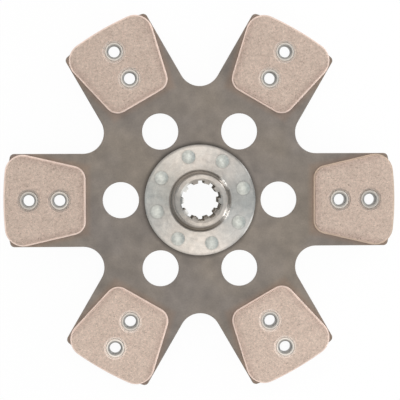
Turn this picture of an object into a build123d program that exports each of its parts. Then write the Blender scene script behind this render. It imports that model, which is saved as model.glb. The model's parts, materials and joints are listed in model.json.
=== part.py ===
from build123d import *
from math import radians, tan
import os

# Clutch disc: a rigid splined hub riveted to a six-armed core plate, with a sintered pad on both faces of each arm.
# Millimetres. The hub axis is Z, the origin lies on it at the middle of the plate's thickness, the long side of the
# hub points to +Z and the first arm to +X.

# Splined bore, straight-sided teeth
spline_count = 10
spline_major_d = 28.575
spline_tooth_h = 2.0
spline_groove_w = 4.46
spline_mouth = 0.9
spline_mouth_deg = 20.0

# Hub
hub_wall = 4.15
hub_front_l = 21.0
hub_rear_l = 12.5
hub_nose_chamfer = 0.5
hub_rear_chamfer = 1.0
hub_fit = 0.05
flange_w = 21.1
flange_t = 3.2
flange_chamfer = 0.3
flange_root_r = 3.7

# Rivets that hold the hub
hub_rivet_count = 8
hub_rivet_start_arm = 1
hub_rivet_inset = 7.75
hub_rivet_shank_d = 6.4
hub_rivet_head_d = 9.5
hub_rivet_edge_h = 0.15
hub_rivet_crown_h = 0.6
hub_rivet_rear_d = 11.0
hub_rivet_rear_h = 2.2
hub_rivet_rear_r = 1.4
rivet_fit = 0.05

# Core plate
plate_t = 2.6
plate_edge_r = 0.5
arm_count = 6
arm_w = 66.3
arm_corner_r = 3.2
notch_r = 14.9
lightening_d = 25.8
lightening_gap = 3.95

# Pads: the backing plate has the full outline, the facing is smaller by its margin
disc_d = 279.4
pad_overhang = 1.2
pad_l = 58.3
pad_inner_w = 45.4
pad_side_deg = 13.0
pad_inner_corner_r = 9.7
pad_outer_corner_r = 13.0
pad_outer_arc_r = 208.0
backing_t = 1.2
backing_edge_r = 0.3
facing_t = 2.8
facing_margin = 1.15
facing_bevel = 0.35

# Tubular rivets that hold the pads, rolled over at both ends
pad_rivet_pitch = 21.8
pad_rivet_offset = 0.2
pad_rivet_bore_d = 8.0
pad_rivet_wall = 1.0
pad_rivet_lip = 1.7
pad_rivet_head_h = 1.0
pad_rivet_flare_r = 1.1
pad_rivet_edge_r = 0.6
counterbore_gap = 1.3
counterbore_depth = 1.6

# Sizes that follow from those above
barrel_r = spline_major_d / 2 + hub_wall
flange_r = barrel_r + flange_w
spline_minor_r = spline_major_d / 2 - spline_tooth_h
hub_rivet_circle_r = flange_r - hub_rivet_inset
lightening_circle_r = flange_r + lightening_gap + lightening_d / 2
arm_step_deg = 360 / arm_count
pad_reach = disc_d / 2
arm_reach = pad_reach - pad_overhang
pad_inner_x = pad_reach - pad_l
pad_rivet_mid_r = pad_inner_x + pad_l / 2 + pad_rivet_offset
pad_rivet_radii = (pad_rivet_mid_r - pad_rivet_pitch / 2, pad_rivet_mid_r + pad_rivet_pitch / 2)
pad_rivet_shank_r = pad_rivet_bore_d / 2 + pad_rivet_wall
pad_rivet_head_r = pad_rivet_shank_r + pad_rivet_lip
counterbore_r = pad_rivet_head_r + counterbore_gap

# Heights above the middle of the plate
plate_top = plate_t / 2
flange_top = plate_top + flange_t
backing_top = plate_top + backing_t
facing_top = backing_top + facing_t
counterbore_floor = facing_top - counterbore_depth


def corner(sketch, x, y):
    """The sketch's vertex nearest to a point."""
    return sketch.vertices().sort_by_distance((x, y, 0))[0]


def turned(profile):
    """A profile of radius and height, turned about the Z axis."""
    return revolve(Plane.XZ * profile, Axis.Z)


def hub_rivet_places():
    """The rivet circle, with its first rivet in line with one of the arms."""
    return PolarLocations(hub_rivet_circle_r, hub_rivet_count, hub_rivet_start_arm * arm_step_deg)


def core_plate():
    arm = Rectangle(2 * arm_reach, arm_w, align=(Align.MIN, Align.CENTER))
    outline = Sketch() + [Rot(0, 0, i * arm_step_deg) * arm for i in range(arm_count)]
    outline &= Circle(arm_reach)
    outline = fillet(outline.vertices().sort_by(SortBy.DISTANCE)[:arm_count], notch_r)
    outline = fillet(outline.vertices().sort_by(SortBy.DISTANCE)[-2 * arm_count:], arm_corner_r)
    outline -= PolarLocations(lightening_circle_r, arm_count) * Circle(lightening_d / 2)
    plate = extrude(outline, plate_t / 2, both=True)
    faces = plate.faces().sort_by(Axis.Z)
    plate = fillet(faces[0].edges() + faces[-1].edges(), plate_edge_r)

    holes = Sketch() + Circle(barrel_r + hub_fit)
    holes += hub_rivet_places() * Circle(hub_rivet_shank_d / 2 + rivet_fit)
    for radius in pad_rivet_radii:
        holes += PolarLocations(radius, arm_count) * Circle(pad_rivet_shank_r + rivet_fit)
    return plate - extrude(holes, plate_t, both=True)


def hub_blank():
    """The hub as it leaves the lathe, before its bore and rivet holes."""
    profile = make_face(
        Polyline(
            (0, -hub_rear_l),
            (barrel_r, -hub_rear_l),
            (barrel_r, plate_top),
            (flange_r, plate_top),
            (flange_r, flange_top),
            (barrel_r, flange_top),
            (barrel_r, hub_front_l),
            (0, hub_front_l),
            close=True,
        )
    )
    profile = fillet(corner(profile, barrel_r, flange_top), flange_root_r)
    profile = chamfer(corner(profile, flange_r, flange_top), flange_chamfer)
    profile = chamfer(corner(profile, barrel_r, hub_front_l), hub_nose_chamfer)
    profile = chamfer(corner(profile, barrel_r, -hub_rear_l), hub_rear_chamfer)
    return turned(profile)


def splined_bore():
    """What the broach and the chamfering tool take out of the hub, teeth left standing on the arm axes."""
    step_deg = 360 / spline_count
    groove = Rectangle(spline_major_d, spline_groove_w, align=(Align.MIN, Align.CENTER))
    section = Sketch() + Circle(spline_minor_r)
    section += [Rot(0, 0, (i + 1 / 2) * step_deg) * groove for i in range(spline_count)]
    section &= Circle(spline_major_d / 2)
    bore = extrude(Pos(0, 0, -hub_rear_l) * section, hub_front_l + hub_rear_l)

    mouth_r = spline_major_d / 2 + spline_mouth
    mouth_depth = mouth_r * tan(radians(spline_mouth_deg))
    mouth = Cone(0, mouth_r, mouth_depth, align=(Align.CENTER, Align.CENTER, Align.MAX))
    return bore + Pos(0, 0, hub_front_l) * mouth + Pos(0, 0, -hub_rear_l) * Rot(180, 0, 0) * mouth


def hub():
    shank_r = hub_rivet_shank_d / 2 + rivet_fit
    sink_r = hub_rivet_head_d / 2 + rivet_fit
    hole = Cylinder(shank_r, flange_t, align=(Align.CENTER, Align.CENTER, Align.MAX))
    hole += Cone(shank_r, sink_r, sink_r - shank_r, align=(Align.CENTER, Align.CENTER, Align.MAX))
    body = hub_blank() - splined_bore()
    return body - Pos(0, 0, flange_top) * hub_rivet_places() * hole


def hub_rivet():
    """A solid rivet: round head behind the plate, upset into the flange's countersink with a low crown."""
    shank_r = hub_rivet_shank_d / 2
    head_r = hub_rivet_head_d / 2
    rear_r = hub_rivet_rear_d / 2
    edge_z = flange_top + hub_rivet_edge_h
    crown_z = edge_z + hub_rivet_crown_h
    crown_r = (head_r**2 + hub_rivet_crown_h**2) / (2 * hub_rivet_crown_h)
    profile = make_face(
        Polyline(
            (0, -plate_top - hub_rivet_rear_h),
            (rear_r, -plate_top - hub_rivet_rear_h),
            (rear_r, -plate_top),
            (shank_r, -plate_top),
            (shank_r, flange_top - head_r + shank_r),
            (head_r, flange_top),
            (head_r, crown_z),
            (0, crown_z),
            close=True,
        )
    )
    profile = fillet(corner(profile, rear_r, -plate_top - hub_rivet_rear_h), hub_rivet_rear_r)
    profile &= Pos(0, crown_z - crown_r) * Circle(crown_r)
    return turned(profile)


def pad_rivet():
    """A tubular rivet through pad, plate and pad, its ends rolled outwards into the counterbores of the facings."""
    bore_r = pad_rivet_bore_d / 2
    end_z = counterbore_floor + pad_rivet_head_h
    profile = make_face(
        Polyline(
            (bore_r, -end_z),
            (pad_rivet_head_r, -end_z),
            (pad_rivet_head_r, -counterbore_floor),
            (pad_rivet_shank_r, -counterbore_floor),
            (pad_rivet_shank_r, counterbore_floor),
            (pad_rivet_head_r, counterbore_floor),
            (pad_rivet_head_r, end_z),
            (bore_r, end_z),
            close=True,
        )
    )
    for z in (-end_z, end_z):
        profile = fillet(corner(profile, bore_r, z), pad_rivet_flare_r)
        profile = fillet(corner(profile, pad_rivet_head_r, z), pad_rivet_edge_r)
    return turned(profile)


def pad_outline():
    """Outline of a pad on the +X arm: sides that open outwards, a bowed outer edge and four round corners."""
    inner_half_w = pad_inner_w / 2
    outer_half_w = inner_half_w + pad_l * tan(radians(pad_side_deg))
    outline = make_face(
        Polyline(
            (pad_inner_x, -inner_half_w),
            (pad_inner_x, inner_half_w),
            (pad_reach, outer_half_w),
            (pad_reach, -outer_half_w),
            close=True,
        )
    )
    outline &= Pos(pad_reach - pad_outer_arc_r, 0) * Circle(pad_outer_arc_r)
    outline = fillet(outline.vertices().sort_by(Axis.X)[:2], pad_inner_corner_r)
    corners = [corner(outline, pad_reach, side * outer_half_w) for side in (-1, 1)]
    return fillet(corners, pad_outer_corner_r)


def pad_rivet_holes(radius):
    return Sketch() + [Pos(x, 0) * Circle(radius) for x in pad_rivet_radii]


def backing():
    """The thin steel carrier of a front pad, on the +X arm."""
    plate = extrude(Pos(0, 0, plate_top) * pad_outline(), backing_t)
    plate = fillet(plate.faces().sort_by(Axis.Z)[-1].edges(), backing_edge_r)
    holes = Pos(0, 0, plate_top) * pad_rivet_holes(pad_rivet_shank_r + rivet_fit)
    return plate - extrude(holes, backing_t)


def facing():
    """The sintered layer of a front pad, on the +X arm, with its edges and counterbores bevelled."""
    layer = extrude(Pos(0, 0, backing_top) * offset(pad_outline(), -facing_margin), facing_t)
    layer -= extrude(Pos(0, 0, counterbore_floor) * pad_rivet_holes(counterbore_r), counterbore_depth)
    layer = chamfer(layer.faces().sort_by(Axis.Z)[-1].edges(), facing_bevel)
    holes = Pos(0, 0, backing_top) * pad_rivet_holes(pad_rivet_shank_r + rivet_fit)
    return layer - extrude(holes, facing_t)


def save(shape, name):
    export_step(shape, "parts/" + name + ".step")


def main():
    os.makedirs("parts", exist_ok=True)
    save(core_plate(), "core_plate")
    save(hub(), "hub")
    save(Compound([place * hub_rivet() for place in hub_rivet_places()]), "hub_rivets")
    tubes = [place * pad_rivet() for radius in pad_rivet_radii for place in PolarLocations(radius, arm_count)]
    save(Compound(tubes), "pad_rivets")

    pad_pieces = {"backing": backing(), "facing": facing()}
    faces = {"front": Rot(0, 0, 0), "rear": Rot(180, 0, 0)}
    for i in range(arm_count):
        for side, turn_over in faces.items():
            for name, piece in pad_pieces.items():
                placed = Rot(0, 0, i * arm_step_deg) * turn_over * piece
                save(placed, side + "_" + name + "_" + str(i + 1))


main()
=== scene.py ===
import json
from math import cos, radians, sin

import bpy
from mathutils import Matrix, Vector

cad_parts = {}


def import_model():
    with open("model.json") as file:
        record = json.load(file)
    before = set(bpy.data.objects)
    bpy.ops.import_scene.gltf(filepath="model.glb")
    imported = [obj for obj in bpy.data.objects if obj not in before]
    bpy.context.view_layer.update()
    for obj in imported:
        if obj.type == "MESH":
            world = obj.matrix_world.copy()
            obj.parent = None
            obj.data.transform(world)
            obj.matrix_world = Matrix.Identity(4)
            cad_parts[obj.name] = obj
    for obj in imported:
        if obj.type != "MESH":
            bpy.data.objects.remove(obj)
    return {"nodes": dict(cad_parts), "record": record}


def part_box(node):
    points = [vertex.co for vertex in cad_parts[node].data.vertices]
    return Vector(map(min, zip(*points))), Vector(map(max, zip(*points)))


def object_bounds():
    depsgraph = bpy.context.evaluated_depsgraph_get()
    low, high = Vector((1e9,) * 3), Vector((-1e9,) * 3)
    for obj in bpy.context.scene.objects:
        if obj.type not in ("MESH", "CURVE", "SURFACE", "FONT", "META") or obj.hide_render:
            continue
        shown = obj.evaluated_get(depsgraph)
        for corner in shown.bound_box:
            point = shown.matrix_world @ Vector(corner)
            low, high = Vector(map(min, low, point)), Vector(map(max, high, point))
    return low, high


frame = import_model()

CAD_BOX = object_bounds()
NODES = frame["nodes"]
WHITE = (1.0, 1.0, 1.0, 1.0)

# Camera, as the photograph was taken: almost square on, with a long lens, metres and radians
VIEW_TILT_UP = 0.035
VIEW_TILT_RIGHT = 0.0541
VIEW_TURN = 0.0044
VIEW_DISTANCE = 1.2324
VIEW_DISTANCE_PIXELS = 1726.0
VIEW_OFFSET_PIXELS = (-0.05, 0.11)
PHOTO_PIXELS = 400
SENSOR_MM = 36.0

# Places on the plate, the pads and the rivets, in metres and degrees. Between the two radii of OUTER_RIVETS the
# inner pad rivets' tone gives way to that of the outer ones
PLATE_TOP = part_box("core_plate")[1].z
FLOOR_GAP = 0.0001
FLANGE_SHADE_WIDTH = 0.0034
ARM_COUNT = 6
FACING_INNER_X = 0.08255
FACING_INNER_HALF_W = 0.0217
FACING_SIDE_SLOPE = 0.2309
HUB_RIVET_CIRCLE = 0.03179
HUB_RIVET_HEAD = 0.00475
HUB_RIVET_COUNT = 8
HUB_RIVET_START = 15.0
PAD_RIVET_CIRCLES = (0.09985, 0.12165)
PAD_RIVET_MOUTH_R = 0.0051
OUTER_RIVETS = (0.108, 0.114)
COUNTERBORE_R = 0.008

# Places on the hub, in metres. A pair is where something begins and where it is full. The forged band at the
# barrel's root lies between two circles, each a little off the hub axis
HUB_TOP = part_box("hub")[1].z
FLANGE_THICKNESS = 0.0032
FLANGE_TOP = PLATE_TOP + FLANGE_THICKNESS
FLANGE_R = 0.03954
FORGED_R = 0.0220
FORGED_OFFSET_Y = 0.0005
COLLAR_R = 0.01895
COLLAR_OFFSETS = (("X", 0.00012), ("Y", 0.00048))
DARK_EDGE = (0.0190, 0.0202)
GLINT_EDGE = (0.0202, 0.0209)
CALM_BEGINS = (0.0182, 0.0188)
CALM_ENDS = (0.0203, 0.0209)
BORE_R = 0.0155
MOUTH_HEIGHTS = (0.0175, 0.0185)
TOOTH_TIPS = (0.0128, 0.0140)
GLINTING_TIPS = (0.0129, 0.0138)

# Zones: an azimuth round the hub axis in degrees, and the cosines of the angle from it between which a zone
# grows from nothing to full. Most of them place painted shade and painted highlights
FLANGE_SHADE_ABOVE = (95, 0.2, 0.9)
ARMS_BELOW = (270, 0.3, 0.6)
ARMS_ABOVE = (90, 0.3, 0.6)
RIM_SHADE_ABOVE = (85, 0.0, 0.8)
RIM_SHADE_BELOW = (265, 0.2, 0.8)
RIM_UPPER_GLINT = (31, 0.985, 0.998)
RIM_LOWER_GLINT = (333, 0.972, 0.996)
BAND_SHADE_ABOVE = (85, 0.5, 1.0)
BAND_SHADE_BELOW = (258, 0.6, 1.0)
BAND_UPPER_GLINT = (34, 0.96, 0.995)
BAND_LOWER_GLINT = (333, 0.93, 0.99)
SHADE_BY_GLINT = (38, 0.94, 0.98)
NOSE_LIT_RIGHT = (30, -1.0, 1.0)
WALL_LEFT_SHADE = (145, 0.3, 0.7)
MOUTH_SHADE_ABOVE = (90, 0.75, 0.90)
MOUTH_SHADE_BELOW = (300, 0.55, 0.72)
TEETH_LEFT_GLINT = (180, 0.55, 0.75)
TOOTH_UPPER_LEFT_GLINT = (144, 0.93, 0.97)
# Painted sheen and painted shade on the flange's face: a zone, and the shares of red, green and blue in it
FLANGE_SHEEN_AND_SHADE = (
    ((345, 0.6, 1.0), (0.85, 0.89, 0.92)),
    ((212, 0.6, 1.0), (1.08, 1.08, 1.08)),
    ((58, 0.6, 1.0), (0.92, 0.92, 0.93)),
    ((170, 0.8, 1.0), (0.925, 0.955, 0.96)),
    ((304, 0.7, 1.0), (1.06, 1.06, 1.07)),
)

# Pieces that are paler or darker than the others of their slot
OWN_FINISHES = {
    "front_facing_5": "pale facing",
    "front_facing_6": "pale facing",
    "front_backing_1": "darker backing",
}

# Studio: a soft box overhead, longer along Y, in a dimmer room that is dimmest along X, with a dark screen at
# one side and a bright light low down all round. A pair is where something begins and where it is full
BOX_HALF_X = 0.23
BOX_HALF_Y = 0.85
BOX_EDGE = (0.6, 1.4)
BOX_LIGHT = (1.92, 1.84, 1.75, 1.0)
ROOM_LIGHT_X = (0.09, 0.21, 0.29, 1.0)
ROOM_LIGHT_Y = (1.06, 1.02, 0.97, 1.0)
DIM_AZIMUTH = 8.0
DIM_OFFSET = 0.09
DIM_TAPER = -0.35
DIM_EDGE = (0.10, 0.55)
DIM_HEIGHTS = (0.2, 0.5)
LOW_LIGHT = (1.75, 1.72, 1.70, 1.0)
LOW_HEIGHTS = (0.1, 0.45)
SCREEN_AZIMUTH = 250.0
SCREEN_EDGE = (0.45, 0.85)
SCREEN_SHARE = 0.55
FLOOR_HALF = 3.0
FLOOR_TONE = (0.95, 0.95, 0.95, 1.0)
FLOOR_WHITE = 0.955

# Lamps: name, azimuth, elevation, distance, size and power
LAMPS = (
    ("right upper lamp", 34, 16, 1.2, 0.28, 3.0),
    ("right lower lamp", 333, 16, 1.2, 0.30, 3.2),
)


def linear(red, green, blue):
    """A colour given as 0 to 255 display values, as the linear colour that a shader takes."""

    def channel(value):
        share = value / 255
        return share / 12.92 if share <= 0.04045 else ((share + 0.055) / 1.055) ** 2.4

    return (channel(red), channel(green), channel(blue), 1.0)


class Graph:
    """A node tree under construction, with short calls for the usual nodes."""

    def __init__(self, tree):
        self.tree = tree

    def node(self, kind, inputs=None, **settings):
        made = self.tree.nodes.new(kind)
        for key, value in settings.items():
            setattr(made, key, value)
        for key, value in (inputs or {}).items():
            self.plug(made.inputs[key], value)
        return made

    def plug(self, socket, value):
        if isinstance(value, bpy.types.NodeSocket):
            self.tree.links.new(value, socket)
        else:
            socket.default_value = value

    def math(self, operation, first, second=0.0, third=0.0, **settings):
        inputs = {0: first, 1: second, 2: third}
        made = self.node("ShaderNodeMath", inputs, operation=operation, **settings)
        return made.outputs["Value"]

    def product(self, first, *others):
        for other in others:
            first = self.math("MULTIPLY", first, other)
        return first

    def length(self, first, second):
        squares = [self.product(value, value) for value in (first, second)]
        return self.math("SQRT", self.math("ADD", *squares))

    def split(self, vector):
        return self.node("ShaderNodeSeparateXYZ", {"Vector": vector}).outputs

    def along_azimuth(self, parts, azimuth):
        """How far a split vector reaches in the direction of an azimuth in degrees."""
        part = self.product(parts["X"], cos(radians(azimuth)))
        return self.math("MULTIPLY_ADD", parts["Y"], sin(radians(azimuth)), part)

    def spread(self, value, low, high, to_low=0.0, to_high=1.0, smooth=False):
        """A value carried over from one span to another, and held at its ends beyond it."""
        inputs = {
            "Value": value,
            "From Min": low,
            "From Max": high,
            "To Min": to_low,
            "To Max": to_high,
        }
        kind = "SMOOTHSTEP" if smooth else "LINEAR"
        return self.node("ShaderNodeMapRange", inputs, interpolation_type=kind).outputs["Result"]

    def mix(self, share, first, second, how="MIX"):
        made = self.node("ShaderNodeMix", {"Factor": share}, data_type="RGBA", blend_type=how)
        self.plug(made.inputs[6], first)
        self.plug(made.inputs[7], second)
        return made.outputs[2]

    def shaded(self, tone, *shares):
        """A tone multiplied by one or more grey or coloured shares."""
        for share in shares:
            tone = self.mix(1.0, tone, share, "MULTIPLY")
        return tone

    def grey_share(self, mask, share):
        """A share to multiply a tone by: 1 outside a mask, and as given inside it."""
        return self.spread(mask, 0.0, 1.0, 1.0, share)

    def coloured_share(self, mask, colour):
        """The same as grey_share, with one number for each of red, green and blue."""
        return self.mix(mask, WHITE, (*colour, 1.0))


class Finish(Graph):
    """A node material with its Principled shader."""

    def __init__(self, name, roughness, metallic, **constants):
        self.material = bpy.data.materials.new(name)
        self.material.use_nodes = True
        super().__init__(self.material.node_tree)
        self.shader = self.tree.nodes["Principled BSDF"]
        self.set(Roughness=roughness, Metallic=metallic, **constants)
        self.place = self.node("ShaderNodeTexCoord").outputs["Object"]

    def set(self, **sockets):
        for key, value in sockets.items():
            self.plug(self.shader.inputs[key.replace("_", " ")], value)

    def bump(self, height, depth):
        inputs = {"Height": height, "Distance": depth, "Strength": 1.0}
        self.set(Normal=self.node("ShaderNodeBump", inputs).outputs["Normal"])

    def noise(self, scale, detail=3.0, roughness=0.5, place=None):
        inputs = {
            "Vector": place or self.place,
            "Scale": scale,
            "Detail": detail,
            "Roughness": roughness,
        }
        return self.node("ShaderNodeTexNoise", inputs).outputs["Fac"]

    def rings(self, scale):
        """Noise that changes only with the distance from the hub axis, as lathe marks do."""
        place = self.node("ShaderNodeCombineXYZ", {"X": self.radius()}).outputs["Vector"]
        return self.noise(scale, roughness=0.7, place=place)

    def speckle(self, scale, low, high, detail=3.0, roughness=0.6):
        """Noise that runs from one number to another, with plain areas at both."""
        return self.spread(self.noise(scale, detail, roughness), 0.3, 0.7, low, high)

    def cloudy(self, scale, first, second, edge=0.15):
        """A tone that wanders between two with broad noise."""
        share = self.spread(self.noise(scale), 0.5 - edge, 0.5 + edge)
        return self.mix(share, first, second)

    def radius(self):
        """Distance from the hub axis."""
        parts = self.split(self.place)
        return self.length(parts["X"], parts["Y"])

    def near_azimuth(self, azimuth):
        """Cosine of the angle round the hub axis between a place and an azimuth in degrees."""
        return self.math("DIVIDE", self.along_azimuth(self.split(self.place), azimuth), self.radius())

    def zone(self, extent, outside=0.0, inside=1.0):
        """A number outside one of the zones listed at the top that changes to another inside it."""
        azimuth, begins, full = extent
        return self.spread(self.near_azimuth(azimuth), begins, full, outside, inside)

    def on_nearest_arm(self, count, start=0.0):
        """Place along and across the nearest of some arms that stand evenly round the hub axis."""
        parts = self.split(self.place)
        half_step = radians(180 / count)
        turned = self.math("ARCTAN2", parts["Y"], parts["X"])
        turned = self.math("SUBTRACT", turned, radians(start))
        turned = self.math("WRAP", turned, half_step, -half_step)
        radius = self.radius()
        return [self.product(radius, self.math(way, turned)) for way in ("COSINE", "SINE")]

    def from_hub_rivet(self):
        """Distance from the axis of the nearest hub rivet."""
        along, across = self.on_nearest_arm(HUB_RIVET_COUNT, HUB_RIVET_START)
        return self.length(self.math("SUBTRACT", along, HUB_RIVET_CIRCLE), across)

    def from_pad_rivet(self):
        """Distance from the axis of the nearest pad rivet."""
        along, across = self.on_nearest_arm(ARM_COUNT)
        distances = [
            self.length(self.math("SUBTRACT", along, circle), across) for circle in PAD_RIVET_CIRCLES
        ]
        return self.math("MINIMUM", *distances)

    def inside_pad(self):
        """Distance from a facing's inner end or nearer side, negative outside it."""
        along, across = self.on_nearest_arm(ARM_COUNT)
        from_inner = self.math("SUBTRACT", along, FACING_INNER_X)
        half_width = self.math("MULTIPLY_ADD", from_inner, FACING_SIDE_SLOPE, FACING_INNER_HALF_W)
        from_side = self.math("SUBTRACT", half_width, self.math("ABSOLUTE", across))
        return self.math("MINIMUM", from_inner, from_side)

    def upright(self):
        """1 on walls that stand along the hub axis, 0 on faces that look up or down."""
        normal = self.split(self.node("ShaderNodeNewGeometry").outputs["True Normal"])
        return self.spread(self.math("ABSOLUTE", normal["Z"]), 0.1, 0.5, 1.0, 0.0)


class HubFinish(Finish):
    """Turned steel, whose round tool marks spread its reflections outwards. The band at the barrel's root is as
    forged, the bore's walls are matt with a pale painted light, and painted light and shade change its tones
    round the hub."""

    def __init__(self):
        super().__init__(
            "turned steel", roughness=0.34, metallic=1.0, Anisotropic=0.9, Anisotropic_Rotation=0.25
        )
        tangent = self.node("ShaderNodeTangent", direction_type="RADIAL", axis="Z")
        self.set(Tangent=tangent.outputs["Tangent"])
        parts = self.split(self.place)
        self.height = parts["Z"]
        self.from_axis = self.radius()
        forging_y = self.math("ADD", parts["Y"], FORGED_OFFSET_Y)
        self.from_forging = self.length(parts["X"], forging_y)
        collar = [self.math("ADD", parts[key], offset) for key, offset in COLLAR_OFFSETS]
        self.from_collar = self.length(*collar)
        self.outside = self.spread(self.from_axis, BORE_R, BORE_R + 0.0004)
        self.inside = self.math("SUBTRACT", 1.0, self.outside)
        self.mouth = self.product(self.inside, self.spread(self.height, *MOUTH_HEIGHTS))

    def forged_band(self):
        """Mask of the dark band at the barrel's root, thinned at the right into two painted highlights of paler
        turned steel, which the lamps also light.
        """
        root = self.spread(self.from_forging, FORGED_R - 0.0003, FORGED_R + 0.0008, 1.0, 0.0)
        over_flange = self.spread(self.height, FLANGE_TOP - 0.0004, FLANGE_TOP - 0.0002)
        under_nose = self.spread(self.height, HUB_TOP - 0.0006, HUB_TOP - 0.0003, 1.0, 0.0)
        off_collar = self.spread(self.from_collar, COLLAR_R - 0.0005, COLLAR_R + 0.0005)
        lower_glint = self.zone(BAND_LOWER_GLINT, 1.0, 0.5)
        band = self.product(self.outside, root, over_flange, under_nose, off_collar, lower_glint)
        edge = self.spread(self.from_forging, *GLINT_EDGE, -0.35, 0.65)
        upper_glint = self.product(self.zone(BAND_UPPER_GLINT), edge)
        return self.math("MULTIPLY", band, self.math("SUBTRACT", 1.0, upper_glint), use_clamp=True)

    def rim_painted_shade(self):
        """The flange's rounded rim: painted shade, darker than its face and darkest above."""
        above, below = self.zone(RIM_SHADE_ABOVE, 0.88, 0.50), self.zone(RIM_SHADE_BELOW, 0.88, 0.70)
        share = self.math("MINIMUM", above, below)
        return self.spread(self.from_axis, FLANGE_R - 0.0020, FLANGE_R - 0.0003, 1.0, share)

    def turned_tone(self):
        """The flange's face, with tool marks and blotches, painted shade round each rivet and on the rim, and
        painted sheen by azimuth.
        """
        marks = self.spread(self.rings(700.0), 0.3, 0.7)
        tone = self.mix(marks, linear(189, 187, 183), linear(203, 200, 195))
        tone = self.mix(self.speckle(170.0, 0.0, 0.5, detail=4.0), tone, linear(207, 198, 190))
        patches = self.spread(self.noise(420.0, 4.0, 0.7), 0.25, 0.75, 0.88, 1.10)
        grain = self.speckle(1300.0, 0.94, 1.06, detail=2.0)
        # Painted shade in a ring round each rivet head
        rivet_edge_shade = self.spread(
            self.from_hub_rivet(), HUB_RIVET_HEAD, HUB_RIVET_HEAD + 0.0012, 0.84, 1.0, smooth=True
        )
        tone = self.shaded(tone, patches, grain, rivet_edge_shade, self.rim_painted_shade())
        # Painted sheen and painted shade on the flange's face, by azimuth
        on_flange = self.spread(self.from_axis, FORGED_R, FORGED_R + 0.001)
        for extent, colour in FLANGE_SHEEN_AND_SHADE:
            there = self.product(on_flange, self.zone(extent))
            tone = self.shaded(tone, self.coloured_share(there, colour))
        return tone

    def barrel_painted_shares(self, upright):
        """The nose, with painted light at its right, and painted shade on the left wall and beside the upper
        glint.
        """
        nose = self.mix(self.zone(NOSE_LIT_RIGHT), (0.75, 0.735, 0.72, 1.0), (0.90, 0.885, 0.88, 1.0))
        nose = self.mix(self.spread(self.height, HUB_TOP - 0.002, HUB_TOP - 0.001), WHITE, nose)
        # Painted shade on the barrel's wall at the left, and beside the upper glint where the fillet reflects
        # too much
        wall = self.product(upright, self.zone(WALL_LEFT_SHADE))
        shade_by_glint = self.product(self.zone(SHADE_BY_GLINT), self.spread(self.from_axis, *CALM_BEGINS))
        shade_by_glint = self.product(shade_by_glint, self.spread(self.from_axis, *CALM_ENDS, 1.0, 0.0))
        return nose, self.grey_share(wall, 0.70), self.grey_share(shade_by_glint, 0.60)

    def forged_tone(self):
        """The band at the barrel's root, with painted shade on its outer part below and on its upper side."""
        below = self.product(self.zone(BAND_SHADE_BELOW), self.spread(self.from_forging, *DARK_EDGE))
        tone = self.mix(below, linear(121, 112, 103), linear(78, 69, 57))
        return self.shaded(tone, self.zone(BAND_SHADE_ABOVE, 1.0, 0.84))

    def mouth_painted_shade(self):
        """Painted shade on the bore's mouth: dark below, most of all at the teeth's tips, and dull above."""
        below = self.product(self.mouth, self.zone(MOUTH_SHADE_BELOW))
        above = self.product(self.mouth, self.zone(MOUTH_SHADE_ABOVE))
        tips = self.spread(self.from_axis, *TOOTH_TIPS, 0.35, 0.75)
        return self.grey_share(below, tips), self.grey_share(above, 0.64)

    def painted_glints(self):
        """Mask of painted highlights: the teeth at the left and two places on the rim, made pale and matt."""
        tips = self.spread(self.from_axis, *GLINTING_TIPS, 1.0, 0.0)
        tips = self.product(tips, self.zone(TEETH_LEFT_GLINT))
        tooth = self.zone(TOOTH_UPPER_LEFT_GLINT, 0.0, 0.75)
        teeth = self.product(self.mouth, self.math("MAXIMUM", tips, tooth))
        on_rim = self.spread(self.from_axis, FLANGE_R - 0.0014, FLANGE_R - 0.0007)
        lit = [self.zone(RIM_UPPER_GLINT, 0.0, 0.5), self.zone(RIM_LOWER_GLINT, 0.0, 0.9)]
        rim = self.product(self.math("MAXIMUM", *lit), on_rim)
        return self.math("MAXIMUM", teeth, rim)

    def tool_marks(self):
        """Height of the step where turning stopped and of the marks, which are faint on the band."""
        faint, plain = 0.000004, 0.00002
        on_flange = self.spread(self.from_forging, FORGED_R - 0.0006, FORGED_R + 0.0004, faint, plain)
        on_nose = self.spread(self.height, HUB_TOP - 0.002, HUB_TOP - 0.001, faint, plain)
        depth = self.math("MAXIMUM", on_flange, on_nose)
        step = self.spread(self.from_forging, FORGED_R - 0.0011, FORGED_R + 0.0005, 0.0012, 0.0)
        return self.math("MULTIPLY_ADD", self.rings(2500.0), depth, step)


def hub_finish():
    """Turned steel with its forged band, matt bore, painted light and shade and painted highlights, put
    together.
    """
    finish = HubFinish()
    forged = finish.forged_band()
    painted_glints = finish.painted_glints()
    upright = finish.upright()
    bore = finish.product(finish.inside, upright)
    tone = finish.shaded(finish.turned_tone(), *finish.barrel_painted_shares(upright))
    tone = finish.mix(finish.product(forged, 0.9), tone, finish.forged_tone())
    tone = finish.shaded(tone, *finish.mouth_painted_shade())
    # Painted highlights: a pale matt tone where the teeth and the rim glint
    tone = finish.mix(painted_glints, tone, linear(220, 218, 214))
    # The bore's walls are matt, and their pale tone is painted light in place of light from below
    finish.set(Base_Color=finish.mix(bore, tone, linear(186, 178, 168)))
    matt = finish.math("MAXIMUM", finish.math("MULTIPLY_ADD", forged, 0.35, bore), painted_glints)
    finish.set(Metallic=finish.math("SUBTRACT", 1.0, matt))
    wear_and_highlight = finish.speckle(300.0, 0.37, 0.47, roughness=0.5)
    wear_and_highlight = finish.spread(forged, 0.0, 1.0, wear_and_highlight, 0.25)
    finish.set(Roughness=finish.math("MAXIMUM", wear_and_highlight, finish.product(bore, 0.95)))
    finish.bump(finish.tool_marks(), 1.0)
    return finish.material


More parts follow.
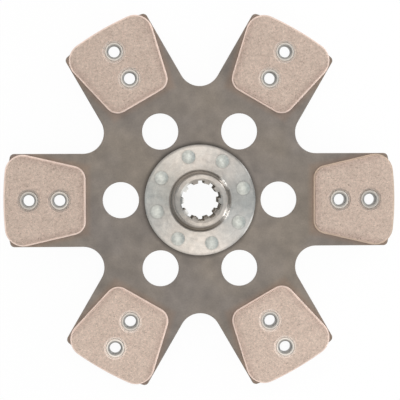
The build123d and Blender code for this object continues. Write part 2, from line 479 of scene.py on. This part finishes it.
def plate_finish():
    """Dull grey-brown steel with faint cloudy patches, with painted shade in front where it meets the flange,
    and a painted coppery reflection of the pads beside them."""
    finish = Finish("plate steel", roughness=0.5, metallic=0.3)
    tone = finish.cloudy(20.0, linear(126, 118, 112), linear(133, 123, 113), edge=0.12)
    broad = finish.speckle(70.0, 0.86, 1.12, roughness=0.5)
    patches = finish.speckle(170.0, 0.93, 1.06, detail=4.0)
    grain = finish.speckle(900.0, 0.93, 1.07)
    # Painted shade on the plate's front next to the flange, darkest above, and none on the rear
    flange_shade = finish.zone(FLANGE_SHADE_ABOVE, 0.53, 0.40)
    flange_shade = finish.spread(finish.radius(), FLANGE_R, FLANGE_R + FLANGE_SHADE_WIDTH, flange_shade, 1.0, smooth=True)
    at_rear = finish.spread(finish.split(finish.place)["Z"], -0.0002, 0.0002, 1.0, 0.0)
    flange_shade = finish.math("MAXIMUM", flange_shade, at_rear)
    # Painted reflection: the pads' copper colour, bounced onto the plate beside them
    by_pad = finish.spread(finish.inside_pad(), -0.0065, -0.0015, smooth=True)
    pad_reflection = finish.coloured_share(by_pad, (1.09, 0.98, 0.91))
    finish.set(Base_Color=finish.shaded(tone, broad, patches, grain, flange_shade, pad_reflection))
    finish.set(Roughness=finish.speckle(120.0, 0.44, 0.58, roughness=0.5))
    finish.bump(finish.noise(1500.0), 0.00003)
    return finish.material


def hub_rivet_finish():
    """Zinc-plated steel, a little green and mottled, with a painted highlight in the middle of the head and
    painted shade at its rim.
    """
    finish = Finish("zinc plate", roughness=0.42, metallic=0.6)
    tone = finish.cloudy(250.0, linear(194, 197, 192), linear(202, 204, 199))
    # Painted highlight in the middle of the head, and painted shade towards its rim
    wear_and_highlight = finish.spread(finish.from_hub_rivet(), 0.0008, 0.0034, 1.07, 0.87, smooth=True)
    mottle = finish.speckle(430.0, 0.82, 1.14, roughness=0.65)
    grain = finish.speckle(900.0, 0.92, 1.07)
    finish.set(Base_Color=finish.shaded(tone, wear_and_highlight, mottle, grain))
    finish.bump(finish.noise(1200.0), 0.00003)
    return finish.material


def pad_rivet_finish():
    """Steel tube, with painted shade inside it and round its mouth. The outer rivets' rolled ends are paler on
    the arms below and darker on level arms."""
    finish = Finish("rivet steel", roughness=0.45, metallic=0.7)
    tone = finish.cloudy(300.0, linear(196, 189, 182), linear(206, 199, 192))
    grain = finish.speckle(900.0, 0.94, 1.05)
    steepness = finish.math("ABSOLUTE", finish.near_azimuth(90))
    by_arm = finish.spread(steepness, 0.1, 0.5, 0.86, 1.0)
    by_arm = finish.product(by_arm, finish.zone(ARMS_BELOW, 1.0, 1.28))
    by_arm = finish.spread(finish.radius(), *OUTER_RIVETS, 1.0, by_arm)
    tone = finish.shaded(tone, grain, by_arm)
    # Painted shade round the tube's mouth
    mouth = finish.spread(
        finish.from_pad_rivet(), PAD_RIVET_MOUTH_R, PAD_RIVET_MOUTH_R + 0.0006, 1.0, 0.0, smooth=True
    )
    tone = finish.mix(mouth, tone, linear(152, 149, 145))
    # Painted shade on the walls inside the tube
    finish.set(Base_Color=finish.mix(finish.upright(), tone, linear(152, 148, 143)))
    finish.bump(finish.noise(1400.0), 0.00003)
    return finish.material


def facing_finish(name, share):
    """Sintered metal: beige brown, with fine dark pores and a few pink grains, rubbed darker near its edges,
    painted light on its bevel.
    The counterbores are painted pale against their shade: palest on the arms below, less so above, and darker
    on level arms."""
    finish = Finish(name, roughness=0.75, metallic=0.0, Specular_IOR_Level=0.3)
    tone = finish.cloudy(110.0, linear(201, 180, 166), linear(206, 185, 171))
    pink = finish.spread(finish.noise(800.0, 2.0, 0.6), 0.54, 0.64)
    tone = finish.mix(finish.product(pink, 0.3), tone, linear(204, 170, 158))
    clouds = finish.speckle(250.0, 0.93, 1.07)
    mottle = finish.speckle(560.0, 0.84, 1.13)
    grain = finish.speckle(1300.0, 0.80, 1.18, detail=2.0, roughness=0.7)
    pores = finish.spread(finish.noise(900.0, 2.0, 0.6), 0.28, 0.38, 0.55, 1.0)
    stains = finish.spread(finish.noise(330.0, 3.0, 0.6), 0.58, 0.70, 1.0, 0.86)
    from_edge = finish.inside_pad()
    rubbed = finish.spread(from_edge, 0.0, 0.006, 1.0, 0.0, smooth=True)
    rubbed = finish.coloured_share(rubbed, (0.85, 0.82, 0.82))
    # Painted light on the bevel within 0.7 mm of the edge, times the piece's own share
    bevel = finish.product(finish.spread(from_edge, 0.0002, 0.0007, 1.18, 1.0), share)
    tone = finish.shaded(tone, clouds, mottle, grain, pores, rubbed, stains, bevel)
    # Counterbores: a pale tone, painted light that lifts their shade, palest on the arms below and darker on
    # level arms
    cut = finish.spread(
        finish.from_pad_rivet(), COUNTERBORE_R - 0.0002, COUNTERBORE_R + 0.0004, 1.0, 0.0, smooth=True
    )
    counterbore_light = finish.math("MAXIMUM", finish.zone(ARMS_BELOW), finish.zone(ARMS_ABOVE, 0.0, 0.55))
    cut_tone = finish.mix(counterbore_light, linear(203, 189, 179), linear(250, 236, 226))
    finish.set(Base_Color=finish.mix(cut, tone, finish.shaded(cut_tone, grain)))
    finish.bump(finish.noise(1600.0, 4.0, 0.7), 0.00006)
    return finish.material


def backing_finish(name, darker, paler):
    """Copper-plated steel between two tones, redder on its edges."""
    finish = Finish(name, roughness=0.4, metallic=0.35)
    tone = finish.cloudy(200.0, darker, paler)
    grain = finish.speckle(1200.0, 0.95, 1.04)
    tone = finish.mix(finish.upright(), tone, linear(204, 160, 138))
    finish.set(Base_Color=finish.shaded(tone, grain))
    finish.bump(finish.noise(1500.0), 0.00003)
    return finish.material


def finish_for_nodes():
    """Gives each node the finish of its record slot, or its own."""
    finishes = {
        "core_plate": plate_finish(),
        "hub": hub_finish(),
        "hub_rivets": hub_rivet_finish(),
        "pad_rivets": pad_rivet_finish(),
        "facing": facing_finish("sintered metal", 0.94),
        "pale facing": facing_finish("pale sintered metal", 1.03),
        "backing": backing_finish("copper plate", linear(226, 207, 197), linear(234, 215, 205)),
        "darker backing": backing_finish(
            "darker copper plate", linear(194, 175, 158), linear(202, 183, 166)
        ),
    }
    for row in frame["record"]["subparts"]:
        mesh = NODES[row["node"]].data
        mesh.materials.clear()
        mesh.materials.append(finishes[OWN_FINISHES.get(row["node"], row["material_slot"])])


def floor():
    """A pale floor: white to the camera and in reflections, with a faint shadow left on it."""
    mesh = bpy.data.meshes.new("floor")
    signs = ((-1, -1), (1, -1), (1, 1), (-1, 1))
    height = CAD_BOX[0][2] - FLOOR_GAP
    corners = [(x * FLOOR_HALF, y * FLOOR_HALF, height) for x, y in signs]
    mesh.from_pydata(corners, [], [(0, 1, 2, 3)])
    plane = bpy.data.objects.new("floor", mesh)
    bpy.context.scene.collection.objects.link(plane)

    material = bpy.data.materials.new("floor")
    material.use_nodes = True
    graph = Graph(material.node_tree)
    graph.tree.nodes.clear()
    rays = graph.node("ShaderNodeLightPath").outputs
    seen = graph.math("MAXIMUM", rays["Is Camera Ray"], rays["Is Glossy Ray"])
    seen = graph.math("MAXIMUM", seen, rays["Is Transmission Ray"])
    matt = graph.node("ShaderNodeBsdfDiffuse", {"Color": FLOOR_TONE})
    share = graph.product(seen, FLOOR_WHITE)
    blend = graph.node("ShaderNodeMixShader", {0: share, 1: matt.outputs[0]})
    graph.plug(blend.inputs[2], graph.node("ShaderNodeEmission").outputs[0])
    graph.node("ShaderNodeOutputMaterial", {"Surface": blend.outputs[0]})
    mesh.materials.append(material)


def world():
    """The studio round the part: its light depends on the direction alone."""
    made = bpy.data.worlds.new("studio")
    made.use_nodes = True
    graph = Graph(made.node_tree)
    direction = graph.split(graph.node("ShaderNodeTexCoord").outputs["Generated"])
    height = direction["Z"]
    across = graph.math("DIVIDE", direction["X"], BOX_HALF_X)
    along = graph.math("DIVIDE", direction["Y"], BOX_HALF_Y)
    in_box = graph.spread(graph.length(across, along), *BOX_EDGE, 1.0, 0.0, smooth=True)

    sideways = graph.math("ADD", graph.along_azimuth(direction, DIM_AZIMUTH), DIM_OFFSET)
    sideways = graph.math("ABSOLUTE", sideways)
    lengthways = graph.math("ABSOLUTE", graph.along_azimuth(direction, DIM_AZIMUTH + 90))
    dim = graph.math("MULTIPLY_ADD", lengthways, DIM_TAPER, sideways)
    dim = graph.spread(dim, *DIM_EDGE, smooth=True)
    dim = graph.product(dim, graph.spread(height, *DIM_HEIGHTS, smooth=True))
    room = graph.mix(dim, ROOM_LIGHT_Y, ROOM_LIGHT_X)
    low = graph.spread(height, *LOW_HEIGHTS, 1.0, 0.0, smooth=True)
    room = graph.mix(low, room, LOW_LIGHT)
    screen = graph.along_azimuth(direction, SCREEN_AZIMUTH)
    screen = graph.spread(screen, *SCREEN_EDGE, 1.0, SCREEN_SHARE, smooth=True)
    light = graph.mix(in_box, graph.shaded(room, screen), BOX_LIGHT)
    graph.plug(graph.tree.nodes["Background"].inputs["Color"], light)
    bpy.context.scene.world = made


def lamp(name, azimuth, elevation, distance, size, power):
    """A square soft box that faces the part, with its place as two angles in degrees and a distance."""
    data = bpy.data.lights.new(name, "AREA")
    data.size = size
    data.energy = power
    made = bpy.data.objects.new(name, data)
    around, up = radians(azimuth), radians(elevation)
    made.location = distance * Vector((cos(around) * cos(up), sin(around) * cos(up), sin(up)))
    made.rotation_euler = (-made.location).to_track_quat("-Z", "Y").to_euler()
    bpy.context.scene.collection.objects.link(made)


def camera():
    """The photograph's camera, aimed near the middle of the plate's front."""
    turn = Matrix.Rotation(VIEW_TURN, 3, "Z")
    tilt = Matrix.Rotation(VIEW_TILT_RIGHT, 3, "Y") @ Matrix.Rotation(VIEW_TILT_UP, 3, "X")
    facing_camera = (tilt @ turn).transposed()
    data = bpy.data.cameras.new("camera")
    data.sensor_width = SENSOR_MM
    data.lens = SENSOR_MM * VIEW_DISTANCE_PIXELS / PHOTO_PIXELS
    metres_per_pixel = VIEW_DISTANCE / VIEW_DISTANCE_PIXELS
    right, up = [pixels * metres_per_pixel for pixels in VIEW_OFFSET_PIXELS]
    target = Vector((0, 0, PLATE_TOP))
    made = bpy.data.objects.new("camera", data)
    made.location = target + facing_camera @ Vector((-right, -up, VIEW_DISTANCE))
    made.rotation_euler = facing_camera.to_euler()
    bpy.context.scene.collection.objects.link(made)
    bpy.context.scene.camera = made


finish_for_nodes()
floor()
world()
for settings in LAMPS:
    lamp(*settings)
camera()
bpy.context.scene.view_settings.view_transform = "Standard"
